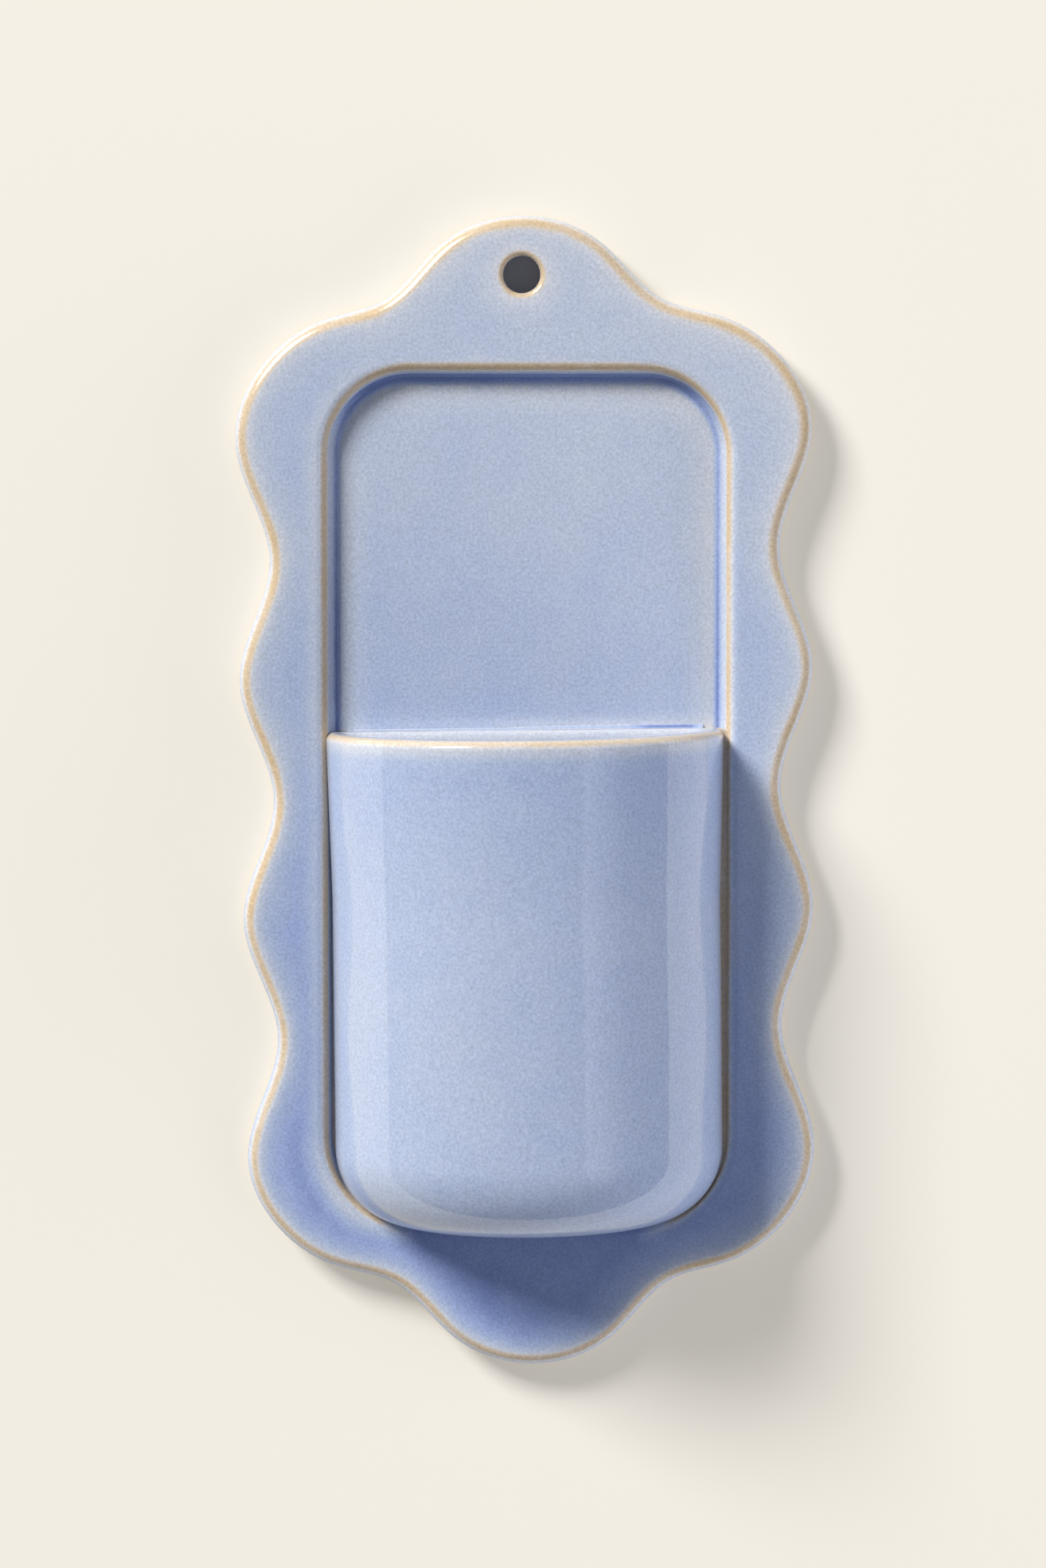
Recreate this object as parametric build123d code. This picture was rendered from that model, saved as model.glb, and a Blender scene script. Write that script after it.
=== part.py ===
from build123d import *
import os
from math import cos, radians, sin, tan

# Plate: a flat stoneware tile with a scalloped edge, cut by hand a little out of square
PLATE_WIDTH = 124.8
PLATE_HEIGHT = 250.0
PLATE_TAPER = 0.6
EDGE_ROUND = 3.0
BACK_EDGE_ROUND = 1.5
HAND_CUT_LEAN = 0.6

# Scallops: the edge's waypoints, measured out from the plate's axis and in from its tips
SIDE_SCALLOPS = 4
SCALLOP_DEPTH = 7.0
SCALLOP_STAGGER = 1.0
FIRST_SCALLOP_IN = 47.2
SHOULDER_OUT = 17.0
SHOULDER_IN = 5.7
NOTCH_OUT = 30.0
NOTCH_IN = 18.0
CORNER_OUT = 44.0
CORNER_IN = 22.4

# Sunk panel: the borders are the clay left between its lip and the scallops' valleys
PANEL_THICKNESS = 3.5
PANEL_SINK = 5.0
PANEL_DRAFT = 22.0
BORDER_SIDE = 11.3
BORDER_TOP = 14.8
BORDER_BOTTOM = 11.8
PANEL_TOP_CORNER = 18.5
PANEL_BOTTOM_CORNER = 20.5
LIP_ROUND = 2.0
COVE_ROUND = 2.0

# Hanging hole: the land is the flat clay left between its rim and the plate's rounded edge
HOLE_DIAMETER = 8.0
HOLE_EDGE_ROUND = 1.3
HOLE_LAND = 4.4

# Pocket: a half-round vessel that fills the panel from side to side, tighter in its foot corners
POCKET_HEIGHT = 107.5
POCKET_WALL = 5.0
POCKET_FLOOR = 6.0
POCKET_BACK_THICKNESS = 4.5
POCKET_BACK_ROUND = 4.0
POCKET_FLARE = 0.9
POCKET_FLARE_HEIGHT = 36.0
POCKET_CHANNEL = 0.2
POCKET_FOOT_GAP = 0.8
POCKET_CORNER_TIGHTER = 2.5
RIM_ROUND = 2.0

# Clay that joins the pieces: a coil inside the pocket and a bed of slip behind it
COIL_LEG = 3.0
COIL_RIM_GAP = 11.0
BED_THICKNESS = 0.6

os.makedirs("parts", exist_ok=True)

plate_thickness = PANEL_THICKNESS + PANEL_SINK
half_height = PLATE_HEIGHT / 2
half_width = PLATE_WIDTH / 2
lean_sine = sin(radians(HAND_CUT_LEAN))
lean = Rot(0, -HAND_CUT_LEAN, 0)

hole_drop = EDGE_ROUND + HOLE_LAND + HOLE_EDGE_ROUND + HOLE_DIAMETER / 2
hole_height = half_height - hole_drop
hole_x = -hole_height * lean_sine
hole_z = hole_height * cos(radians(HAND_CUT_LEAN))
from_hole = Pos(-hole_x, 0, -hole_z)

panel_half_width = half_width - SCALLOP_DEPTH - BORDER_SIDE
panel_top = half_height - NOTCH_IN - BORDER_TOP
panel_bottom = -half_height + NOTCH_IN + BORDER_BOTTOM


def edge_waypoints(hand):
    """Crests and valleys down one edge of the plate, hand 1 on the right and -1 on the left."""
    top = [
        (SHOULDER_OUT, half_height - SHOULDER_IN),
        (NOTCH_OUT, half_height - NOTCH_IN),
        (CORNER_OUT, half_height - CORNER_IN),
    ]
    first = half_height - FIRST_SCALLOP_IN
    half_pitch = first / (SIDE_SCALLOPS - 1)
    side = []
    for step in range(2 * SIDE_SCALLOPS - 1):
        down = half_pitch * step
        valley = SCALLOP_DEPTH * (step % 2)
        narrowing = PLATE_TAPER * down / (2 * first)
        side.append((half_width - valley - narrowing, first - down + hand * SCALLOP_STAGGER))
    bottom = [(out, -height) for out, height in reversed(top)]
    return [(hand * out, height) for out, height in top + side + bottom]


def plate_edge(hand):
    """One half of the plate's outline, a smooth curve that is level at the tip and at the toe."""
    points = [(0, half_height)] + edge_waypoints(hand) + [(0, -half_height)]
    return Spline(*points, tangents=[(hand, 0), (-hand, 0)], tangent_scalars=[1, 1])


def panel_window(inset):
    """The panel's window, drawn inset from its lip, with rounder corners at the bottom."""
    width = 2 * (panel_half_width - inset)
    height = panel_top - panel_bottom - 2 * inset
    window = Rectangle(width, height)
    top_corner = min(PANEL_TOP_CORNER - inset, 0.45 * width)
    bottom_corner = min(PANEL_BOTTOM_CORNER - inset, 0.45 * width)
    window = fillet(window.vertices().group_by(Axis.Y)[-1], top_corner)
    window = fillet(window.vertices().group_by(Axis.Y)[0], bottom_corner)
    return Pos(0, (panel_top + panel_bottom) / 2) * window


def front_rims(tile):
    """Wires of the holes in the tile's front face, the smallest first."""
    return tile.faces().sort_by(Axis.Y)[0].inner_wires().sort_by(SortBy.LENGTH)


# Back plate: a pressed tile, scalloped and rounded, with the panel sunk into its face
scallops = make_face([plate_edge(1), plate_edge(-1)])
back_plate = lean * extrude(Plane.XZ * scallops, plate_thickness)
back_plate = fillet(back_plate.edges().group_by(Axis.Y)[0], EDGE_ROUND)
back_plate = fillet(back_plate.edges().group_by(Axis.Y)[-1], BACK_EDGE_ROUND)

draft_inset = PANEL_SINK * tan(radians(PANEL_DRAFT))
foot = Plane.XZ.offset(PANEL_THICKNESS) * panel_window(draft_inset)
mouth = Plane.XZ.offset(plate_thickness) * panel_window(0)
sink = loft([foot, mouth], ruled=True)
sink = fillet(sink.edges().group_by(Axis.Y)[-1], COVE_ROUND)
hole = extrude(Plane.XZ * Pos(hole_x, hole_z) * Circle(HOLE_DIAMETER / 2), plate_thickness)
back_plate = back_plate - sink - hole
back_plate = fillet(front_rims(back_plate)[-1].edges(), LIP_ROUND)
back_plate = fillet(front_rims(back_plate)[0].edges(), HOLE_EDGE_ROUND)

# Pocket: its rounded back edge clears the panel's drafted wall by the channel, at any draft
draft_cosine = cos(radians(PANEL_DRAFT))
lip_above_round = PANEL_SINK - BED_THICKNESS - POCKET_BACK_ROUND
wall_inset = lip_above_round * tan(radians(PANEL_DRAFT)) - POCKET_BACK_ROUND
wall_inset += (POCKET_BACK_ROUND + POCKET_CHANNEL) / draft_cosine
rim_radius = panel_half_width - wall_inset - POCKET_HEIGHT / 2 * lean_sine
foot_inset = wall_inset + POCKET_FOOT_GAP
pocket_bottom = panel_bottom + foot_inset
pocket_top = pocket_bottom + POCKET_HEIGHT
pocket_back_y = -(PANEL_THICKNESS + BED_THICKNESS)
seam = Plane.XZ.offset(POCKET_BACK_THICKNESS - pocket_back_y)


def half_round(wall, floor):
    """The front half of a turned vessel, inside the pocket's outer face by a wall and a floor."""
    radius = rim_radius - POCKET_FLARE - wall
    bottom = pocket_bottom + floor
    profile = make_face(Polyline(
        (0, pocket_top),
        (0, bottom),
        (radius, bottom),
        (radius, pocket_top - POCKET_FLARE_HEIGHT),
        (radius + POCKET_FLARE, pocket_top),
        close=True,
    ))
    corner = profile.vertices().sort_by_distance((radius, bottom))[0]
    corner_round = PANEL_BOTTOM_CORNER - foot_inset - POCKET_CORNER_TIGHTER - wall
    corner_round = min(corner_round, 0.9 * radius)
    profile = fillet(corner, corner_round)
    turned = revolve(Plane.XZ * profile, axis=-Axis.Z, revolution_arc=180)
    return Pos(0, pocket_back_y, 0) * turned


vessel = half_round(0, 0)
back_rim = vessel.faces().sort_by(Axis.Y)[-1].edges().sort_by(Axis.Z)
vessel = fillet(back_rim[:-1], POCKET_BACK_ROUND)
cavity = split(half_round(POCKET_WALL, POCKET_FLOOR), seam, Keep.TOP)
vessel = vessel - cavity
rim_round = min(RIM_ROUND, 0.45 * POCKET_WALL, 0.45 * POCKET_BACK_THICKNESS)
vessel = fillet(vessel.faces().sort_by(Axis.Z)[-1].edges(), rim_round)

# The pocket is made in two: a flat slab behind and a pressed half-round shell in front
pocket_back = split(vessel, seam, Keep.BOTTOM)
pocket_shell = split(vessel, seam, Keep.TOP)

# Coil: pressed at 45 degrees into the inside corner, where the shell meets the slab
coil_top = Plane.XY.offset(pocket_top - COIL_RIM_GAP)
coil_space = split(cavity, coil_top, Keep.BOTTOM)
seam_rim = coil_space.faces().sort_by(Axis.Y)[-1].edges().sort_by(Axis.Z)
inside_coil = coil_space - chamfer(seam_rim[:-1], COIL_LEG)

# Bed: slip under the whole flat of the pocket's back, down to the panel
bedding_slip = extrude(pocket_back.faces().sort_by(Axis.Y)[-1], BED_THICKNESS)

# The pocket leans about its own middle, as the plate's edge does, and the hole is the origin
pocket_middle = (pocket_bottom + pocket_top) / 2
in_panel = from_hole * Pos(0, 0, pocket_middle) * lean * Pos(0, 0, -pocket_middle)
export_step(from_hole * back_plate, "parts/back_plate.step")
export_step(in_panel * pocket_back, "parts/pocket_back.step")
export_step(in_panel * pocket_shell, "parts/pocket_shell.step")
export_step(in_panel * inside_coil, "parts/inside_coil.step")
export_step(in_panel * bedding_slip, "parts/bedding_slip.step")
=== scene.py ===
from math import cos, pi, radians, sin, sqrt, tan

import bmesh
import bpy
import numpy as np
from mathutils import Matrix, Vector, noise
from mathutils.geometry import delaunay_2d_cdt


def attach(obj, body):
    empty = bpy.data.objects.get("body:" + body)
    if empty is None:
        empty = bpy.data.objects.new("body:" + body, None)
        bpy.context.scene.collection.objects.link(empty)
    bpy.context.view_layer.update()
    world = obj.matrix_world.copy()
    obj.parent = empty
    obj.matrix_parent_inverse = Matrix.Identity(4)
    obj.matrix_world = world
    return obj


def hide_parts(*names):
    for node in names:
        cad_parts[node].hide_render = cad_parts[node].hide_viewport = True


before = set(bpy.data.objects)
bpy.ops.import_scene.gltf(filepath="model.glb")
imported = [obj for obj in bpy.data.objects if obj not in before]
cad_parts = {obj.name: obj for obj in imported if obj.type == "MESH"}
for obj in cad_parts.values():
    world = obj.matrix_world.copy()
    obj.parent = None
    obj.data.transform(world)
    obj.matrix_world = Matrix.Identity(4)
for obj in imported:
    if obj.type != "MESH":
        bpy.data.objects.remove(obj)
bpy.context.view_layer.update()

# Back plate: one slab of buff stoneware with a panel sunk into its face, cut by hand to a
# scalloped outline and pierced for a nail. It is dipped in a milky blue glaze that runs thin
# and tan on every sharp edge and pools deep blue in the corners; the back is wiped bare.
MM = 0.001
PLATE_WIDTH = 124.8
PLATE_HEIGHT = 250.0
PLATE_TAPER = 0.6
PLATE_THICKNESS = 8.5
HAND_CUT_LEAN = radians(0.6)
HOLE_IN = 12.7
SIDE_SCALLOPS = 4
SCALLOP_DEPTH = 7.0
SCALLOP_STAGGER = 1.0
FIRST_SCALLOP_IN = 47.2
TOP_WAYPOINTS = ((17.0, 5.7), (30.0, 18.0), (44.0, 22.4))
OUTLINE_POINTS = 560
CURVE_STEPS = 48

half_height = PLATE_HEIGHT / 2
hole_height = half_height - HOLE_IN
plate_middle = np.array([hole_height * sin(HAND_CUT_LEAN), -hole_height * cos(HAND_CUT_LEAN)])


def leaned(points):
    """Points (x, z) turned by the plate's small lean, right side up."""
    x, z = np.asarray(points, float).T
    turn_x = x * cos(HAND_CUT_LEAN) - z * sin(HAND_CUT_LEAN)
    turn_z = z * cos(HAND_CUT_LEAN) + x * sin(HAND_CUT_LEAN)
    return np.column_stack((turn_x, turn_z))


def evenly_spaced(loop, count):
    """A closed loop walked in steps of one length."""
    closed = np.vstack((loop, loop[:1]))
    along = np.r_[0, np.cumsum(np.linalg.norm(np.diff(closed, axis=0), axis=1))]
    steps = np.linspace(0, along[-1], count, endpoint=False)
    return np.column_stack([np.interp(steps, along, closed[:, axis]) for axis in (0, 1)])


def closed_curve(waypoints, count):
    """The smooth closed curve through the waypoints, a cubic with even bending at each of them."""
    at = np.array(waypoints, float)
    after = np.roll(at, -1, 0)
    gap = np.linalg.norm(after - at, axis=1)
    here = np.arange(len(at))
    system = np.diag(2 * (gap + np.roll(gap, 1)))
    system[here, (here + 1) % len(at)] += gap
    system[here, here - 1] += np.roll(gap, 1)
    slope = (after - at) / gap[:, None]
    bend = np.linalg.solve(system, 6 * (slope - np.roll(slope, 1, 0)))
    share = np.linspace(0, 1, CURVE_STEPS, endpoint=False)[None, :, None]
    rest = 1 - share
    pull = (share**3 - share) * np.roll(bend, -1, 0)[:, None] + (rest**3 - rest) * bend[:, None]
    curve = rest * at[:, None] + share * after[:, None] + pull * (gap**2 / 6)[:, None, None]
    return evenly_spaced(curve.reshape(-1, 2), count)


def edge_waypoints(hand):
    """Crests and valleys down one edge of the plate, hand 1 on the right and -1 on the left."""
    top = [(out, half_height - down) for out, down in TOP_WAYPOINTS]
    first = half_height - FIRST_SCALLOP_IN
    side = []
    for step in range(2 * SIDE_SCALLOPS - 1):
        down = first / (SIDE_SCALLOPS - 1) * step
        out = PLATE_WIDTH / 2 - SCALLOP_DEPTH * (step % 2) - PLATE_TAPER * down / (2 * first)
        side.append((out, first - down + hand * SCALLOP_STAGGER))
    bottom = [(out, -height) for out, height in reversed(top)]
    return [(hand * out, height) for out, height in top + side + bottom]


waypoints = edge_waypoints(1) + [(0, -half_height)] + edge_waypoints(-1)[::-1] + [(0, half_height)]
outline = leaned(closed_curve(waypoints, OUTLINE_POINTS)) + plate_middle

# The plate's edge goes from the bare back round the side to the face; its tan line lies on the round
EDGE_ROUND = 3.0
EDGE_TAN_ANGLE = radians(30)
BACK_EDGE_ROUND = 1.5
BACK_EDGE_ROWS = 5
FRONT_EDGE_ROWS = 15
BARE = -1.0
BACK_EDGE_COAT = 0.03
EDGE_SIDE_COAT = (0.4, 0.7, 0.85, 0.75)
FULL_COAT = 0.66


def inset(loop, distance):
    """A clockwise loop drawn in by a distance, or by one distance for each point."""
    ahead = np.roll(loop, -1, 0) - np.roll(loop, 1, 0)
    inward = np.column_stack((ahead[:, 1], -ahead[:, 0]))
    inward /= np.linalg.norm(inward, axis=1)[:, None]
    return loop + np.reshape(distance, (-1, 1)) * inward


def strip_faces(rows, count, closed):
    """Four-sided faces between neighbouring rows of count points, which may close into rings."""
    faces = []
    for row in range(rows - 1):
        for step in range(count if closed else count - 1):
            here = row * count + step
            ahead = row * count + (step + 1) % count
            faces.append((here, ahead, ahead + count, here + count))
    return faces


def band(loops, depths, coats):
    """A strip of surface through closed loops, each at its own depth and with its own coat of glaze."""
    count = len(loops[0])
    depths = [np.broadcast_to(depth, count) for depth in depths]
    rows = [np.column_stack((loop[:, 0], y, loop[:, 1])) for loop, y in zip(loops, depths)]
    coat = np.concatenate([np.broadcast_to(amount, count) for amount in coats])
    return np.vstack(rows), strip_faces(len(loops), count, closed=True), coat


def edge_glaze(distance):
    """Glaze thickness by the distance from an edge's tan line: bare tan, a milky halo, the full coat."""
    far = (0, 0.6, 1.05, 1.7, 2.7, 4.8, 8.0, 16.0)
    return np.interp(distance, far, (0.04, 0.07, 0.18, 0.33, 0.44, 0.52, 0.58, FULL_COAT))


back_turn = np.linspace(0, pi / 2, BACK_EDGE_ROWS)
side_steps = np.linspace(0, 1, len(EDGE_SIDE_COAT) + 2)[1:-1]
front_turn = np.linspace(pi / 2, 0, FRONT_EDGE_ROWS)
edge_in = np.r_[
    BACK_EDGE_ROUND * (1 - np.sin(back_turn)),
    0 * side_steps,
    EDGE_ROUND * (1 - np.sin(front_turn)),
]
edge_out = np.r_[
    BACK_EDGE_ROUND * (1 - np.cos(back_turn)),
    BACK_EDGE_ROUND + side_steps * (PLATE_THICKNESS - BACK_EDGE_ROUND - EDGE_ROUND),
    PLATE_THICKNESS - EDGE_ROUND * (1 - np.cos(front_turn)),
]
edge_coat = np.r_[
    np.linspace(BARE, BACK_EDGE_COAT, BACK_EDGE_ROWS),
    EDGE_SIDE_COAT,
    edge_glaze(EDGE_ROUND * abs(front_turn - EDGE_TAN_ANGLE)),
]
edge_strip = band([inset(outline, step) for step in edge_in], -edge_out, edge_coat)
back_loop = inset(outline, BACK_EDGE_ROUND)
border_loop = inset(outline, EDGE_ROUND)

# The panel's lip, drafted wall and cove, down to the sunk floor; their round takes in the coat of glaze
PANEL_HALF_WIDTH = 44.1
PANEL_TOP_IN = 32.8
PANEL_BOTTOM_IN = 29.8
PANEL_SINK = 5.0
PANEL_DRAFT = radians(22.0)
PANEL_TOP_CORNER = 18.5
PANEL_TOP_CORNER_STEPS = 24
PANEL_BOTTOM_CORNER = 20.5
PANEL_BOTTOM_CORNER_STEPS = 32
PANEL_POINTS = 420
LIP_ROUND = 2.8
LIP_ROWS = 9
LIP_COAT = 0.7
# The recess's side walls get a thin pale coat: partly thin glaze on the steep wall, partly painted fill
# light in their shade
WALL_SIDE_COAT_AND_FILL = (0.26, 0.3, 0.36)
WALL_HEAD_COAT = (0.8, 1.0, 1.1)
HEAD_SHARES = (0.8, 0.25)
UNDER_POCKET_COAT = 0.6
PALE_CORNER = np.array((-35.0, -200.0))
PALE_REACH = 10.0
PALE_THINNING = 0.2

panel_x = plate_middle[0]
panel_top = half_height - PANEL_TOP_IN + plate_middle[1]
panel_bottom = -half_height + PANEL_BOTTOM_IN + plate_middle[1]
lip_bend = pi / 2 - PANEL_DRAFT


def arc(middle, radius, start, end, steps):
    """Points on an arc in the plane, from one angle to another."""
    turn = np.linspace(start, end, steps + 1)
    return np.column_stack((middle[0] + radius * np.cos(turn), middle[1] + radius * np.sin(turn)))


def nearest(points, loop):
    """Each point's distance from the nearest point of a loop."""
    gaps = np.linalg.norm(points[:, None] - loop[None], axis=2)
    return gaps.min(axis=1)


def under_pocket(points):
    """How far glaze has filled the crevice under the pocket's foot, from 0 to 1."""
    across = np.interp(abs(points[:, 0] - panel_x), (24, 33), (1, 0))
    return across * np.interp(points[:, 1] - panel_bottom, (-9, -5, 6, 9), (0, 1, 1, 0))


def lip_tan(points):
    """How far round the lip from the face its tan line lies: furthest down on the right."""
    share = np.interp(points[:, 0] - panel_x, (-40, -26, 22, 40), (0.77, 0.6, 0.6, 0.92))
    return LIP_ROUND * lip_bend * share


def lip_glaze(distance):
    """Glaze thickness by the distance from the lip's tan line."""
    far = (0, 0.75, 1.15, 1.6, 2.2, 3.5, 7.0)
    return np.interp(distance, far, (0.02, 0.06, 0.2, 0.42, 0.54, 0.6, FULL_COAT))


def lip_start(points):
    """Glaze thickness where the lip leaves the face: milky on the left, most at the bottom corner."""
    milky = np.exp(-(nearest(points, PALE_CORNER[None]) / PALE_REACH)**2 / 2)
    return np.interp(points[:, 0] - panel_x, (-40, -26), (0.43, 0.58)) - PALE_THINNING * milky


top_in = PANEL_HALF_WIDTH - PANEL_TOP_CORNER
top_down = panel_top - PANEL_TOP_CORNER
bottom_in = PANEL_HALF_WIDTH - PANEL_BOTTOM_CORNER
bottom_up = panel_bottom + PANEL_BOTTOM_CORNER
panel_outline = evenly_spaced(np.vstack((
    arc((panel_x + top_in, top_down), PANEL_TOP_CORNER, pi / 2, 0, PANEL_TOP_CORNER_STEPS),
    arc((panel_x + bottom_in, bottom_up), PANEL_BOTTOM_CORNER, 0, -pi / 2, PANEL_BOTTOM_CORNER_STEPS),
    arc((panel_x - bottom_in, bottom_up), PANEL_BOTTOM_CORNER, -pi / 2, -pi, PANEL_BOTTOM_CORNER_STEPS),
    arc((panel_x - top_in, top_down), PANEL_TOP_CORNER, pi, pi / 2, PANEL_TOP_CORNER_STEPS),
)), PANEL_POINTS)

lip_turn = np.linspace(0, lip_bend, LIP_ROWS)
lip_in = -LIP_ROUND * tan(lip_bend / 2) + LIP_ROUND * np.sin(lip_turn)
lip_down = LIP_ROUND * (1 - np.cos(lip_turn))
wall_down = np.linspace(lip_down[-1], PANEL_SINK - lip_down[-1], len(WALL_SIDE_COAT_AND_FILL) + 2)[1:-1]
wall_in = wall_down * tan(PANEL_DRAFT)
floor_in = PANEL_SINK * tan(PANEL_DRAFT)
panel_in = np.r_[lip_in, wall_in, floor_in - lip_in[::-1]]
panel_down = np.r_[lip_down, wall_down, PANEL_SINK - lip_down[::-1]]
panel_along = np.r_[0, np.cumsum(np.hypot(np.diff(panel_in), np.diff(panel_down)))]
cove_share = np.linspace(0, 1, LIP_ROWS)
cove_coat = np.interp(cove_share, (0, 0.35, 0.65, 1), (0.4, 0.55, 1.0, 0.4))
cove_pool = np.interp(cove_share, (0, 0.35, 0.65, 1), (1.1, 1.2, 1.1, 0.55))
# On the sides the pale wall coat is partly painted fill light
side_coat = np.r_[np.full(LIP_ROWS, LIP_COAT), WALL_SIDE_COAT_AND_FILL, cove_coat]
head_coat = np.r_[np.full(LIP_ROWS, LIP_COAT), WALL_HEAD_COAT, cove_pool]
head_from, head_full = [panel_top - share * PANEL_TOP_CORNER for share in HEAD_SHARES]
panel_loops = [inset(panel_outline, step) for step in panel_in]
panel_coats = []
for row, loop in enumerate(panel_loops):
    up = np.interp(loop[:, 1], (head_from, head_full), (0, 1))
    coat = side_coat[row] + (head_coat[row] - side_coat[row]) * up
    if row < len(lip_turn) + len(wall_down):
        coat = np.minimum(coat, lip_glaze(abs(panel_along[row] - lip_tan(loop))))
        coat = np.minimum(coat, lip_start(loop))
    panel_coats.append(np.maximum(coat, UNDER_POCKET_COAT * under_pocket(loop)))
panel_strip = band(panel_loops, panel_down - PLATE_THICKNESS, panel_coats)
lip_loop = panel_loops[0]
floor_loop = panel_loops[-1]

# The hanging hole: a rounded rim on the face and a straight bore through to the wall
HOLE_RADIUS = 4.0
HOLE_EDGE_ROUND = 1.3
HOLE_STEPS = 72
HOLE_RIM_COAT = (0.26, 0.1, 0.04, 0.03, 0.03, 0.1, 0.8)
HOLE_BORE_COAT = (1.5, 1.4, 0.9, 0.3, BARE)

hole_loop = arc((0, 0), 1, 2 * pi, 0, HOLE_STEPS)[:-1]
rim_turn = np.linspace(0, pi / 2, len(HOLE_RIM_COAT))
rim_radius = HOLE_RADIUS + HOLE_EDGE_ROUND * (1 - np.sin(rim_turn))
rim_down = HOLE_EDGE_ROUND * (1 - np.cos(rim_turn))
bore_down = np.linspace(HOLE_EDGE_ROUND, PLATE_THICKNESS, len(HOLE_BORE_COAT) + 1)[1:]
hole_radii = np.r_[rim_radius, np.full(len(bore_down), HOLE_RADIUS)]
hole_out = np.r_[rim_down, bore_down] - PLATE_THICKNESS
hole_strip = band([radius * hole_loop for radius in hole_radii], hole_out, HOLE_RIM_COAT + HOLE_BORE_COAT)
hole_rim = hole_radii[0] * hole_loop

# The flat faces: the border round the panel, the panel's floor and the bare back
FACE_SPACING = 1.5
BACK_SPACING = 3.0
EDGE_ROOM = 0.6
INSIDE_ONLY = 1
MESH_ACCURACY = 1e-6
POCKET_LEDGE = -98.2
LEDGE_REFLECTION_PALING = 0.35


def inside(points, loop):
    """Which of the points lie inside a loop."""
    x, z = points[:, :1], points[:, 1:]
    x0, z0 = loop.T
    x1, z1 = np.roll(loop, -1, 0).T
    crosses = (z0 > z) != (z1 > z)
    reach = x0 + (z - z0) * (x1 - x0) / np.where(z1 == z0, 1, z1 - z0)
    return (crosses & (x < reach)).sum(axis=1) % 2 == 1


def flat(outer, holes, depth, spacing, glaze):
    """A flat face between an outer loop and its holes, evenly meshed; glaze gives each point's coat."""
    low, high = outer.min(axis=0), outer.max(axis=0)
    across = np.arange(low[0], high[0], spacing)
    rows = np.arange(low[1], high[1], spacing * sqrt(3) / 2)
    grid = np.array([(x + spacing / 2 * (row % 2), z) for row, z in enumerate(rows) for x in across])
    keep = inside(grid, outer)
    for hole in holes:
        keep &= ~inside(grid, hole)
    corners = []
    edges = []
    for loop in (outer, *holes):
        keep &= nearest(grid, loop) > spacing * EDGE_ROOM
        start = len(corners)
        corners.extend(loop)
        edges.extend((start + step, start + (step + 1) % len(loop)) for step in range(len(loop)))
    corners.extend(grid[keep])
    corners = [Vector(corner) for corner in corners]
    made = delaunay_2d_cdt(corners, edges, [], INSIDE_ONLY, MESH_ACCURACY)
    points = np.array([tuple(point) for point in made[0]])
    middles = np.array([points[list(face)].mean(axis=0) for face in made[2]])
    solid = inside(middles, outer)
    for hole in holes:
        solid &= ~inside(middles, hole)
    faces = [face for face, kept in zip(made[2], solid) if kept]
    places = np.column_stack((points[:, 0], np.full(len(points), depth), points[:, 1]))
    return places, faces, glaze(points)


def border_glaze(points):
    """Glaze on the border: thin by the outer edge, the lip and the hole, full between them."""
    outer = edge_glaze(nearest(points, border_loop) + EDGE_ROUND * EDGE_TAN_ANGLE)
    full = np.interp(nearest(points, lip_loop), (0, 1.5, 4.0, 8.0), (0, 0.4, 0.75, 1))
    lip = lip_start(points) * (1 - full) + FULL_COAT * full
    hole = np.interp(nearest(points, hole_rim), (0, 1.0, 2.5, 6.0), (0.3, 0.4, 0.48, 0.6))
    coat = np.minimum(np.minimum(outer, lip), hole)
    return np.maximum(coat, UNDER_POCKET_COAT * under_pocket(points))


def floor_glaze(points):
    """Glaze on the sunk floor: drawn thin beside the pool in the cove, and paler just above the pocket's
    ledge as a painted reflection of the ledge.
    """
    coat = np.interp(nearest(points, floor_loop), (0, 0.8, 2.5, 7.0), (0.4, 0.34, 0.45, 0.56))
    # Painted reflection: a paler band just above the pocket's ledge, stronger on the right
    above_ledge = points[:, 1] - POCKET_LEDGE - points[:, 0] * sin(HAND_CUT_LEAN)
    ledge_reflection = np.interp(above_ledge, (0.4, 3.0), (1, 0)) * np.interp(points[:, 0], (-10, 0), (0.3, 1))
    return coat * (1 - LEDGE_REFLECTION_PALING * ledge_reflection)


def bare(points):
    """No glaze: fired clay."""
    return np.full(len(points), BARE)


border = flat(border_loop, [lip_loop, hole_rim], -PLATE_THICKNESS, FACE_SPACING, border_glaze)
floor = flat(floor_loop, [], PANEL_SINK - PLATE_THICKNESS, FACE_SPACING, floor_glaze)
back = flat(back_loop, [HOLE_RADIUS * hole_loop], 0, BACK_SPACING, bare)

# The patches are welded into one piece, whose surface swells a little as hand-worked clay does
WELD_DISTANCE = 0.004
SLIVER_LENGTH = 0.002
SWELL_SIZE = 24.0
SHARP_ANGLE = radians(55)


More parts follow.
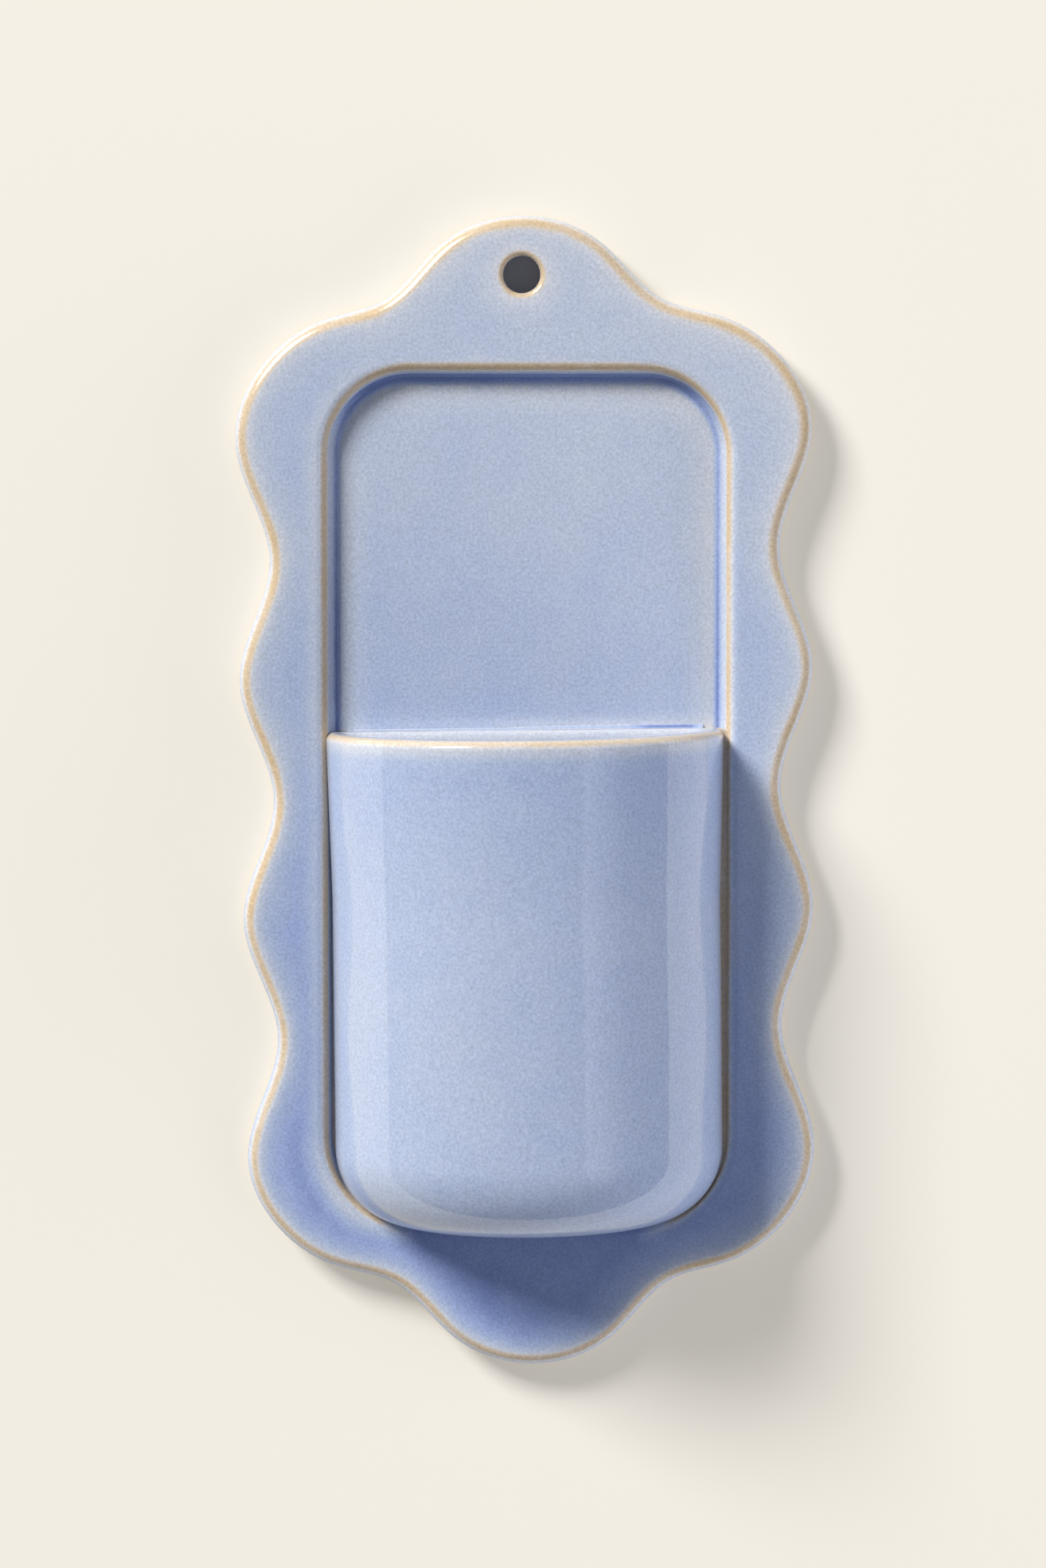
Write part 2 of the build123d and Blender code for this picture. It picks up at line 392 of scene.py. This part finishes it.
def clay(name, patches, swell):
    """One piece of clay made of patches, welded where they meet; swell is its unevenness in mm."""
    build = bmesh.new()
    layer = build.verts.layers.float.new("glaze")
    for points, faces, coat in patches:
        made = []
        for point, amount in zip(points, coat):
            vert = build.verts.new(Vector(point) * MM)
            vert[layer] = amount
            made.append(vert)
        for face in faces:
            build.faces.new([made[index] for index in face])
    bmesh.ops.remove_doubles(build, verts=build.verts, dist=WELD_DISTANCE * MM)
    bmesh.ops.dissolve_degenerate(build, edges=build.edges, dist=SLIVER_LENGTH * MM)
    bmesh.ops.recalc_face_normals(build, faces=build.faces)
    build.normal_update()
    moves = [vert.normal * noise.noise(vert.co / (SWELL_SIZE * MM)) * swell * MM for vert in build.verts]
    for vert, move in zip(build.verts, moves):
        vert.co += move
    mesh = bpy.data.meshes.new(name)
    build.to_mesh(mesh)
    build.free()
    mesh.shade_smooth()
    mesh.set_sharp_from_angle(angle=SHARP_ANGLE)
    piece = bpy.data.objects.new(name, mesh)
    bpy.context.scene.collection.objects.link(piece)
    return piece


plate_patches = [edge_strip, panel_strip, hole_strip, border, floor, back]
back_plate = clay("back_plate_glazed", plate_patches, swell=0.05)

# The glaze: tan where it breaks over an edge, milky where it thickens, deep blue where it pools
DEEPEST = 1.6
GLAZE_COLOURS = (
    (BARE, (204, 181, 150)), (-0.1, (204, 181, 150)), (0.02, (203, 180, 146)), (0.16, (209, 197, 183)),
    (0.32, (202, 205, 214)), (0.5, (189, 197, 213)), (0.8, (167, 181, 211)), (1.0, (150, 166, 208)),
    (1.25, (108, 128, 182)), (DEEPEST, (62, 82, 134)),
)
RUN_DIRECTION = (0.35, 0.0, 1.0)
CLOUD_SIZE = 22.0
WAVER_SIZE = 5.0
WAVER = 0.12
CRYSTAL_SIZE = 0.6
CRYSTAL_CONTRAST = 0.62
GLOSS_RANGE = (-0.4, 0.2)
CLAY_ROUGHNESS = 0.75
GLAZE_ROUGHNESS = 0.06
GLAZE_IOR = 1.72
RIPPLE_SIZE = 9.0
RIPPLE_STRENGTH = 0.25
RIPPLE_DEPTH = 0.1


def srgb(red, green, blue):
    """A colour as it looks, 0 to 255, in the linear values that shaders take."""
    linear = []
    for channel in (red, green, blue):
        share = channel / 255
        linear.append(share / 12.92 if share <= 0.04045 else ((share + 0.055) / 1.055) ** 2.4)
    return linear + [1.0]


def link(tree, source, target):
    """Joins two sockets, each given as (node, socket)."""
    tree.links.new(source[0].outputs[source[1]], target[0].inputs[target[1]])


def math_node(tree, operation, first, second):
    """A Math node whose two inputs are numbers or (node, socket) pairs."""
    node = tree.nodes.new("ShaderNodeMath")
    node.operation = operation
    for index, value in enumerate((first, second)):
        if isinstance(value, tuple):
            link(tree, value, (node, index))
        else:
            node.inputs[index].default_value = value
    return node


def map_range(tree, source, from_range, to_range):
    """A Map Range node that carries one range over to another and stops at its ends."""
    node = tree.nodes.new("ShaderNodeMapRange")
    for socket, value in zip(("From Min", "From Max", "To Min", "To Max"), (*from_range, *to_range)):
        node.inputs[socket].default_value = value
    link(tree, source, (node, "Value"))
    return node


def colour_ramp(tree, source, stops):
    """A Color Ramp node with stops of (position, colour), lowest first."""
    node = tree.nodes.new("ShaderNodeValToRGB")
    elements = node.color_ramp.elements
    for index, (position, colour) in enumerate(stops):
        stop = elements[index] if index < len(elements) else elements.new(position)
        stop.position = position
        stop.color = colour
    link(tree, source, (node, 0))
    return node


def noise_node(tree, place, size, detail):
    """A noise texture whose lumps are about size millimetres across."""
    node = tree.nodes.new("ShaderNodeTexNoise")
    node.inputs["Scale"].default_value = 1 / (size * MM)
    node.inputs["Detail"].default_value = detail
    link(tree, place, (node, "Vector"))
    return node


def swing(tree, place, size, detail, amount):
    """Noise moved to swing about 0, from lowest to highest by an amount."""
    centred = math_node(tree, "SUBTRACT", (noise_node(tree, place, size, detail), 0), 0.5)
    return math_node(tree, "MULTIPLY", (centred, 0), amount)


def milky_glaze_group():
    """The glaze's colour, gloss and ripple from its thickness, which runs from BARE to DEEPEST."""
    tree = bpy.data.node_groups.new("milky_blue_glaze", "ShaderNodeTree")
    for name in ("Thickness", "Cloudiness", "Run"):
        tree.interface.new_socket(name, in_out="INPUT", socket_type="NodeSocketFloat")
    for name, kind in (("Color", "Color"), ("Roughness", "Float"), ("Ripple", "Float")):
        tree.interface.new_socket(name, in_out="OUTPUT", socket_type="NodeSocket" + kind)
    given = tree.nodes.new("NodeGroupInput")
    result = tree.nodes.new("NodeGroupOutput")
    spot = (tree.nodes.new("ShaderNodeTexCoord"), "Object")

    # The coat has run down the piece and a little to the left; clouds and a wavering line break it up
    height = tree.nodes.new("ShaderNodeVectorMath")
    height.operation = "DOT_PRODUCT"
    height.inputs[1].default_value = RUN_DIRECTION
    link(tree, spot, (height, 0))
    run = math_node(tree, "MULTIPLY", (height, "Value"), (given, "Run"))
    run = math_node(tree, "ADD", (run, 0), 1.0)
    thickness = math_node(tree, "MULTIPLY", (given, "Thickness"), (run, 0))
    clouds = swing(tree, spot, CLOUD_SIZE, detail=3, amount=(given, "Cloudiness"))
    waver = swing(tree, spot, WAVER_SIZE, detail=2, amount=WAVER)
    for unevenness in (clouds, waver):
        thickness = math_node(tree, "ADD", (thickness, 0), (unevenness, 0))
    share = map_range(tree, (thickness, 0), (BARE, DEEPEST), (0.0, 1.0))
    stops = [((amount - BARE) / (DEEPEST - BARE), srgb(*colour)) for amount, colour in GLAZE_COLOURS]
    tint = colour_ramp(tree, (share, 0), stops)

    # Milky crystals about half a millimetre across lighten and darken the whole coat
    crystals = swing(tree, spot, CRYSTAL_SIZE, detail=2, amount=CRYSTAL_CONTRAST)
    crystals = math_node(tree, "ADD", (crystals, 0), 1.0)
    speckled = tree.nodes.new("ShaderNodeVectorMath")
    speckled.operation = "SCALE"
    link(tree, (tint, "Color"), (speckled, 0))
    link(tree, (crystals, 0), (speckled, "Scale"))
    link(tree, (speckled, 0), (result, "Color"))

    gloss = map_range(tree, (given, "Thickness"), GLOSS_RANGE, (CLAY_ROUGHNESS, GLAZE_ROUGHNESS))
    link(tree, (gloss, 0), (result, "Roughness"))
    link(tree, (noise_node(tree, spot, RIPPLE_SIZE, detail=1), 0), (result, "Ripple"))
    return tree


milky_glaze = milky_glaze_group()


def glazed(name, cloudiness, run, even_coat=None):
    """A glazed stoneware material; the coat is the mesh's own glaze, or one thickness all over."""
    material = bpy.data.materials.new(name)
    material.use_nodes = True
    tree = material.node_tree
    shader = tree.nodes["Principled BSDF"]
    shader.inputs["IOR"].default_value = GLAZE_IOR
    glaze = tree.nodes.new("ShaderNodeGroup")
    glaze.node_tree = milky_glaze
    glaze.inputs["Cloudiness"].default_value = cloudiness
    glaze.inputs["Run"].default_value = run
    if even_coat is None:
        coat = tree.nodes.new("ShaderNodeAttribute")
        coat.attribute_name = "glaze"
        link(tree, (coat, "Fac"), (glaze, "Thickness"))
        link(tree, (glaze, "Roughness"), (shader, "Roughness"))
    else:
        glaze.inputs["Thickness"].default_value = even_coat
        shader.inputs["Roughness"].default_value = GLAZE_ROUGHNESS
    link(tree, (glaze, "Color"), (shader, "Base Color"))
    bump = tree.nodes.new("ShaderNodeBump")
    bump.inputs["Strength"].default_value = RIPPLE_STRENGTH
    bump.inputs["Distance"].default_value = RIPPLE_DEPTH * MM
    link(tree, (glaze, "Ripple"), (bump, "Height"))
    link(tree, (bump, "Normal"), (shader, "Normal"))
    return material


back_plate.data.materials.append(glazed("plate_glaze", cloudiness=0.2, run=-4.2))
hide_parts("back_plate")
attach(back_plate, "root")

# Pocket back: the rolled slab of stoneware that closes the half-round vessel behind, with its back
# edge rounded off towards the panel. Its rounded top is the pale ledge that shows behind the mouth.
# The pocket's wall and radius take in the coat of glaze.
POCKET_HEIGHT = 107.5
POCKET_WALL = 5.4
POCKET_FLOOR = 6.0
POCKET_SLAB = 4.5
POCKET_BACK_ROUND = 4.0
POCKET_BACK_TOP_SHARE = 0.3
POCKET_BACK_TOP_FADE = 6.0
POCKET_BED = 0.6
POCKET_FLARE = 1.0
POCKET_FLARE_HEIGHT = 36.0
POCKET_RIM_RADIUS = 43.3
POCKET_FOOT_ROUND = 16.5
POCKET_FOOT_IN = 1.49
RIM_ROUND = 2.0
RIM_ROWS = 9
RIM_TAN_ANGLE = radians(50)
MOUTH_CORNER = 2.0
FOOT_STEPS = 24
RISE_STEPS = 17
FLARE_STEPS = 13
LEDGE_POINTS = 60
SLAB_BACK_ROWS = 8
SLAB_FRONT_ROWS = 9
SLAB_ROW_GAP = 0.25
SLAB_BACK_SPACING = 4.0
SLAB_FRONT_SPACING = 2.5

axis_depth = -(PLATE_THICKNESS - PANEL_SINK + POCKET_BED)
seam_depth = axis_depth - POCKET_SLAB
pocket_foot = panel_bottom + POCKET_FOOT_IN
pocket_top = pocket_foot + POCKET_HEIGHT
pocket_middle = np.array([panel_x, (pocket_foot + pocket_top) / 2])


def side_profile(wall, floor):
    """Radius and height up the pocket's side, inside its outer face by a wall and a floor."""
    radius = POCKET_RIM_RADIUS - POCKET_FLARE - wall
    foot = pocket_foot + floor
    corner = POCKET_FOOT_ROUND - wall
    flare_from = pocket_top - POCKET_FLARE_HEIGHT
    turn = arc((radius - corner, foot + corner), corner, -pi / 2, 0, FOOT_STEPS)
    rise = np.linspace(foot + corner, flare_from, RISE_STEPS + 1)[1:]
    rise = np.column_stack((np.full(RISE_STEPS, radius), rise))
    flare = np.linspace(flare_from, pocket_top - RIM_ROUND, FLARE_STEPS + 1)[1:]
    flare = np.column_stack((radius + POCKET_FLARE * (flare - flare_from) / POCKET_FLARE_HEIGHT, flare))
    return np.vstack((turn, rise, flare))


def pocket_place(patches):
    """Patches of the upright pocket where it stands in the panel, leaning a little."""
    placed = []
    for points, faces, coat in patches:
        x, z = (leaned(points[:, [0, 2]] - (0, pocket_middle[1])) + pocket_middle).T
        placed.append((np.column_stack((x, points[:, 1], z)), faces, coat))
    return placed


def rounded_in(depth, radius):
    """How far a rounded edge has drawn in at a depth from the tangent to its round."""
    return radius - np.sqrt(radius**2 - np.clip(depth, 0, radius)**2)


over = np.linspace(0, pi / 2, RIM_ROWS)
outer_rim = np.column_stack((
    POCKET_RIM_RADIUS - RIM_ROUND * (1 - np.cos(over)),
    pocket_top - RIM_ROUND * (1 - np.sin(over)),
))[1:]
outer_side = side_profile(0, 0)
outer_face = np.vstack((outer_side, outer_rim))
below_tan = pocket_top - RIM_ROUND - outer_side[:, 1] + RIM_ROUND * RIM_TAN_ANGLE
far_below = (0, 0.8, 1.4, 2.3, 3.6, 6.0, 40.0)
outer_coat = np.r_[
    np.interp(below_tan, far_below, (0.09, 0.12, 0.3, 0.56, 0.76, 0.84, 0.75)),
    np.interp(RIM_ROUND * abs(over[1:] - RIM_TAN_ANGLE), (0, 0.7, 1.2, 2.0), (0.09, 0.13, 0.3, 0.5)),
]


def slab_loop(out):
    """The slab's outline and coat at a distance from its back face, clockwise from its top's left end."""
    sides = np.column_stack((np.sqrt(outer_face[:, 0]**2 - out**2), outer_face[:, 1]))
    top = np.linspace(-sides[-1, 0], sides[-1, 0], LEDGE_POINTS + 2)[1:-1]
    top = np.column_stack((top, np.full(LEDGE_POINTS, pocket_top)))
    loop = np.vstack((top, sides[::-1], sides * (-1, 1)))
    up = np.clip(inset(loop, -1)[:, 1] - loop[:, 1], 0, 1)**2
    near_top = np.clip((pocket_top - loop[:, 1]) / POCKET_BACK_TOP_FADE, POCKET_BACK_TOP_SHARE, 1)
    side_in = near_top * rounded_in(POCKET_BACK_ROUND - out, POCKET_BACK_ROUND)
    mouth = np.clip((POCKET_RIM_RADIUS - POCKET_WALL - abs(loop[:, 0])) / MOUTH_CORNER, 0, 1)
    mouth_in = mouth * rounded_in(out - POCKET_SLAB + RIM_ROUND, RIM_ROUND)
    top_in = rounded_in(RIM_ROUND - out, RIM_ROUND) + mouth_in
    side_coat = np.r_[np.zeros(LEDGE_POINTS), outer_coat[::-1], outer_coat]
    side_coat = np.maximum(side_coat, np.interp(out, (0, 2.5), (0.6, 0)))
    top_coat = np.interp(out, (0, 0.8, 1.6, 3.0, 4.5), (1.2, 0.85, 0.45, 0.3, 0.5))
    return inset(loop, up * top_in + (1 - up) * side_in), up * top_coat + (1 - up) * side_coat


def inside_glaze(points):
    """Glaze inside the pocket: thin by the rim, pooling towards the foot."""
    return np.interp(pocket_top - points[:, 1], (0, 3.0, 8.0, 100), (0.3, 0.5, 0.75, 1.05))


slab_out = np.r_[
    np.linspace(0, RIM_ROUND, SLAB_BACK_ROWS),
    np.linspace(RIM_ROUND + SLAB_ROW_GAP, POCKET_SLAB, SLAB_FRONT_ROWS),
]
slab_loops, slab_coats = zip(*(slab_loop(out) for out in slab_out))
slab_patches = pocket_place([
    band(slab_loops, axis_depth - slab_out, slab_coats),
    flat(slab_loops[0], [], axis_depth, SLAB_BACK_SPACING, bare),
    flat(slab_loops[-1], [], seam_depth, SLAB_FRONT_SPACING, inside_glaze),
])
pocket_back = clay("pocket_back_glazed", slab_patches, swell=0.04)
pocket_glaze = glazed("pocket_glaze", cloudiness=0.16, run=0.0)
pocket_back.data.materials.append(pocket_glaze)
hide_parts("pocket_back")
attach(pocket_back, "root")

# Bedding slip: the thin bed of clay slurry that fixes the slab to the panel. It was squeezed out in a
# bead along the slab's top and into the crevice round the pocket, where glaze has run over it.
BEAD_RISE = 0.7
BEAD_OUT = 1.9
BEAD_END_IN = 4.5
BEAD_POINTS = 90
BEAD_COAT = (0.5, 0.7, 1.0, 1.0, 0.8, 0.6, 0.45)
CREVICE_REACH = 1.7
CREVICE_OUT = 2.7
CREVICE_LEFT_OUT = 0.5

slip_rear = axis_depth + POCKET_BED
bed_loop = slab_loops[0]
bed_patch = band([bed_loop, bed_loop], (axis_depth, slip_rear), (BARE, BARE))
bead_end = POCKET_RIM_RADIUS - BEAD_END_IN
bead_across = np.linspace(-bead_end, bead_end, BEAD_POINTS)
bead_swell = np.interp(bead_across, (-38, -6, 8, 38), (0.5, 0.5, 1.1, 1.3))
bead_pool = np.interp(bead_across, (-38, 22, 27, 36, 38), (0.8, 0.85, 1.3, 1.3, 0.9))
bead_rows = []
for turn in np.linspace(0, pi / 2, len(BEAD_COAT)):
    depth = np.full(BEAD_POINTS, slip_rear - BEAD_OUT * (1 - cos(turn)))
    rise = BEAD_RISE * bead_swell * (1 - sin(turn))
    height = pocket_top + rise - rounded_in(RIM_ROUND - BEAD_OUT, RIM_ROUND)
    bead_rows.append(np.column_stack((bead_across, depth, height)))
bead_patch = (
    np.vstack(bead_rows),
    strip_faces(len(bead_rows), BEAD_POINTS, closed=False),
    np.concatenate([bead_pool * share for share in BEAD_COAT]),
)

# Beside and under the pocket it fills the crevice to below the plate's face, less so on the left
crevice_in = slab_loop(CREVICE_OUT)[0]
rising = inset(crevice_in, -1)[:, 1] - crevice_in[:, 1]
crevice_edge = inset(crevice_in, -CREVICE_REACH * (1 - np.clip(rising, 0, 1)))
crevice_coat = np.interp(rising, (-1, -0.4, 0), (0.6, 0.5, 0.1))
crevice_front = axis_depth - np.interp(crevice_in[:, 0], (-36, 0), (CREVICE_LEFT_OUT, CREVICE_OUT))
crevice_loops = [crevice_in, crevice_edge, crevice_edge, crevice_in, crevice_in]
crevice_depths = (crevice_front, crevice_front, slip_rear, slip_rear, crevice_front)
crevice_patch = band(crevice_loops, crevice_depths, [crevice_coat] * len(crevice_loops))
slip_patches = pocket_place([bed_patch, bead_patch, crevice_patch])
bedding_slip = clay("bedding_slip_fired", slip_patches, swell=0)
bedding_slip.data.materials.append(glazed("bare_clay", cloudiness=0.1, run=0.0))
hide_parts("bedding_slip")
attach(bedding_slip, "root")

# Pocket shell: a half-round shell of stoneware pressed in a mould, with a rounded foot and a rolled
# rim. Its two long edges are scored and slipped to the slab.
ROUND_STEPS = 140
SOLE_ROWS = 11
SOLE_COAT = 0.8

round_points = ROUND_STEPS + 1


def half_turn(profile):
    """Points (x, y, z) swept row by row round the front of the pocket, from seam to seam."""
    rows = []
    for radius, height in profile:
        start = np.arcsin(min(1.0, POCKET_SLAB / radius))
        turn = np.linspace(pi - start, start, round_points)
        depth = axis_depth - radius * np.sin(turn)
        rows.append(np.column_stack((radius * np.cos(turn), depth, np.full(round_points, height))))
    return np.vstack(rows)


def sole(edge):
    """The flat foot from the seam out to the first point of a side profile."""
    out = np.linspace(POCKET_SLAB, edge[0], SOLE_ROWS + 1)[:-1]
    return np.column_stack((out, np.full(SOLE_ROWS, edge[1])))


inner_side = side_profile(POCKET_WALL, POCKET_FLOOR)
inner_rim = outer_rim * (-1, 1) + (2 * POCKET_RIM_RADIUS - POCKET_WALL, 0)
inner_sole = sole(inner_side[0])
shell_profile = np.vstack((
    sole(outer_side[0]), outer_face, inner_rim[::-1], inner_side[::-1], inner_sole[::-1],
))
shell_coat = np.r_[
    np.full(SOLE_ROWS, SOLE_COAT),
    outer_coat,
    np.interp(RIM_ROUND * over[:0:-1], (0, 1.4, 2.8), (0.5, 0.5, 0.6)),
    inside_glaze(inner_side[::-1]),
    inside_glaze(inner_sole[::-1]),
]
shell_points = half_turn(shell_profile)
shell_faces = strip_faces(len(shell_profile), round_points, closed=False)
shell_patches = [(shell_points, shell_faces, np.repeat(shell_coat, round_points))]
for end in (0, ROUND_STEPS):
    seam = shell_points[end::round_points]
    shell_patches.append((seam, [tuple(range(len(seam)))], shell_coat))
pocket_shell = clay("pocket_shell_glazed", pocket_place(shell_patches), swell=0.08)
pocket_shell.data.materials.append(pocket_glaze)
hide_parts("pocket_shell")
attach(pocket_shell, "root")

# Inside coil: a roll of soft clay pressed into the corner between shell and slab, which makes the
# seam watertight. It keeps its CAD shape and is glazed with the inside of the pocket.
inside_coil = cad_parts["inside_coil"]
inside_coil.data.materials.clear()
inside_coil.data.materials.append(glazed("coil_glaze", cloudiness=0.1, run=0.0, even_coat=0.95))

# Wall: a plain cream backdrop that the plate hangs flat against, open behind the plate so that the
# plate's back can be looked at. A shallow nail hole keeps the hanging hole dark.
WALL_SIZE = 3000.0
WALL_COLOUR = (237, 235, 229)
WALL_ROUGHNESS = 0.9
WALL_SPECULAR = 0.2
WALL_GLOW = 0.34
GLOW_COLOUR = (246, 237, 218)
NAIL_HOLE_RADIUS = 4.2
NAIL_HOLE_START = 0.1
NAIL_HOLE_DEPTH = 3.0
NAIL_HOLE_SPACING = 2.0

wall_edge = WALL_SIZE / 2 * np.array([(1, 1), (1, -1), (-1, -1), (-1, 1)])
wall_patch = flat(wall_edge, [back_loop], 0, WALL_SIZE, bare)
nail_loop = NAIL_HOLE_RADIUS * hole_loop
nail_side = band([nail_loop, nail_loop], (NAIL_HOLE_START, NAIL_HOLE_DEPTH), (BARE, BARE))
nail_end = flat(nail_loop, [], NAIL_HOLE_DEPTH, NAIL_HOLE_SPACING, bare)


def plaster(name, patches, glow):
    """A piece of the wall, part lit by itself to keep shadows open, and clear when seen from behind."""
    piece = clay(name, patches, swell=0)
    if any(polygon.normal.y > 0.5 for polygon in piece.data.polygons):
        piece.data.flip_normals()
    material = bpy.data.materials.new(name + "_plaster")
    material.use_nodes = True
    tree = material.node_tree
    paint = tree.nodes["Principled BSDF"]
    painted = [share * (1 - glow) for share in srgb(*WALL_COLOUR)[:3]]
    paint.inputs["Base Color"].default_value = painted + [1.0]
    paint.inputs["Emission Color"].default_value = srgb(*GLOW_COLOUR)
    paint.inputs["Emission Strength"].default_value = glow
    paint.inputs["Roughness"].default_value = WALL_ROUGHNESS
    paint.inputs["Specular IOR Level"].default_value = WALL_SPECULAR
    clear = tree.nodes.new("ShaderNodeBsdfTransparent")
    facing = tree.nodes.new("ShaderNodeNewGeometry")
    path = tree.nodes.new("ShaderNodeLightPath")
    behind = math_node(tree, "MULTIPLY", (facing, "Backfacing"), (path, "Is Camera Ray"))
    choose = tree.nodes.new("ShaderNodeMixShader")
    link(tree, (behind, 0), (choose, "Fac"))
    link(tree, (paint, 0), (choose, 1))
    link(tree, (clear, 0), (choose, 2))
    link(tree, (choose, 0), (tree.nodes["Material Output"], "Surface"))
    piece.data.materials.append(material)


plaster("wall", [wall_patch], WALL_GLOW)
plaster("nail_hole", [nail_side, nail_end], 0.0)

# Light: a soft key lamp up to the left, two white cards on the right, one low and one level with the
# plate, a dim room with a window on the right, and a lamp for the back.
KEY_WHITE = (1.0, 0.98, 0.94)
COOL_WHITE = (0.97, 1.0, 1.1)
PLAIN_WHITE = (1.0, 1.0, 1.0)
WINDOW_SHADE = ((0.53, 0.0), (0.57, 0.6), (0.85, 0.0))
WINDOW_ENDS = (0.3, 0.6)
ROOM_LEVEL = 0.13
LAMP_AIM_OUT = 10.0
lamp_aim = Vector((0, -LAMP_AIM_OUT * MM, plate_middle[1] * MM))


def lamp(name, azimuth, elevation, distance, size, power, colour):
    """A square soft lamp that looks at the plate's middle; azimuth is to the right of the camera."""
    data = bpy.data.lights.new(name, "AREA")
    data.size = size
    data.energy = power
    data.color = colour
    turn, rise = radians(azimuth), radians(elevation)
    light = bpy.data.objects.new(name, data)
    away = Vector((sin(turn) * cos(rise), -cos(turn) * cos(rise), sin(rise)))
    light.location = lamp_aim + away * distance
    light.rotation_euler = (-away).to_track_quat("-Z", "Y").to_euler()
    bpy.context.scene.collection.objects.link(light)
    return light


lamp("key", azimuth=-49.5, elevation=38, distance=6.0, size=1.9, power=540.0, colour=KEY_WHITE)
for name, azimuth, elevation, power in (("card", 78, -42, 12.5), ("level_card", 85, 5, 9.5)):
    card = lamp(name, azimuth, elevation, distance=1.5, size=1.2, power=power, colour=COOL_WHITE)
    card.visible_glossy = False
lamp("behind", azimuth=160, elevation=30, distance=1.5, size=1.0, power=23.0, colour=PLAIN_WHITE)

world = bpy.data.worlds.new("room")
bpy.context.scene.world = world
world.use_nodes = True
room = world.node_tree
look = room.nodes.new("ShaderNodeTexCoord")
aside = room.nodes.new("ShaderNodeSeparateXYZ")
link(room, (look, "Generated"), (aside, 0))
shade_stops = [(place, (level, level, level, 1.0)) for place, level in WINDOW_SHADE]
window_shade = colour_ramp(room, (aside, "X"), shade_stops)
from_level = math_node(room, "ABSOLUTE", (aside, "Z"), 0.0)
window_ends = map_range(room, (from_level, 0), WINDOW_ENDS, (1.0, 0.0))
window_light = math_node(room, "MULTIPLY", (window_shade, "Color"), (window_ends, 0))
room_light = math_node(room, "ADD", (window_light, 0), ROOM_LEVEL)
link(room, (room_light, 0), (room.nodes["Background"], "Strength"))
room.nodes["Background"].inputs["Color"].default_value = (*COOL_WHITE, 1.0)

# Camera: level with the panel's top and looking a little down, at the photograph's framing
CAMERA_DISTANCE = 1.3
CAMERA_RISE = radians(3.9)
FRAME_HEIGHT = 0.34
SENSOR_HEIGHT = 36.0
CAMERA_AIM_X = 0.26
CAMERA_AIM_HEIGHT = -110.1
camera_aim = Vector((CAMERA_AIM_X * MM, -PLATE_THICKNESS * MM, CAMERA_AIM_HEIGHT * MM))
camera_data = bpy.data.cameras.new("camera")
camera_data.sensor_width = SENSOR_HEIGHT
camera_data.lens = SENSOR_HEIGHT * CAMERA_DISTANCE / FRAME_HEIGHT
camera = bpy.data.objects.new("camera", camera_data)
camera.location = camera_aim + CAMERA_DISTANCE * Vector((0, -cos(CAMERA_RISE), sin(CAMERA_RISE)))
camera.rotation_euler = (pi / 2 - CAMERA_RISE, 0, 0)
bpy.context.scene.collection.objects.link(camera)
bpy.context.scene.camera = camera
bpy.context.scene.view_settings.view_transform = "Standard"
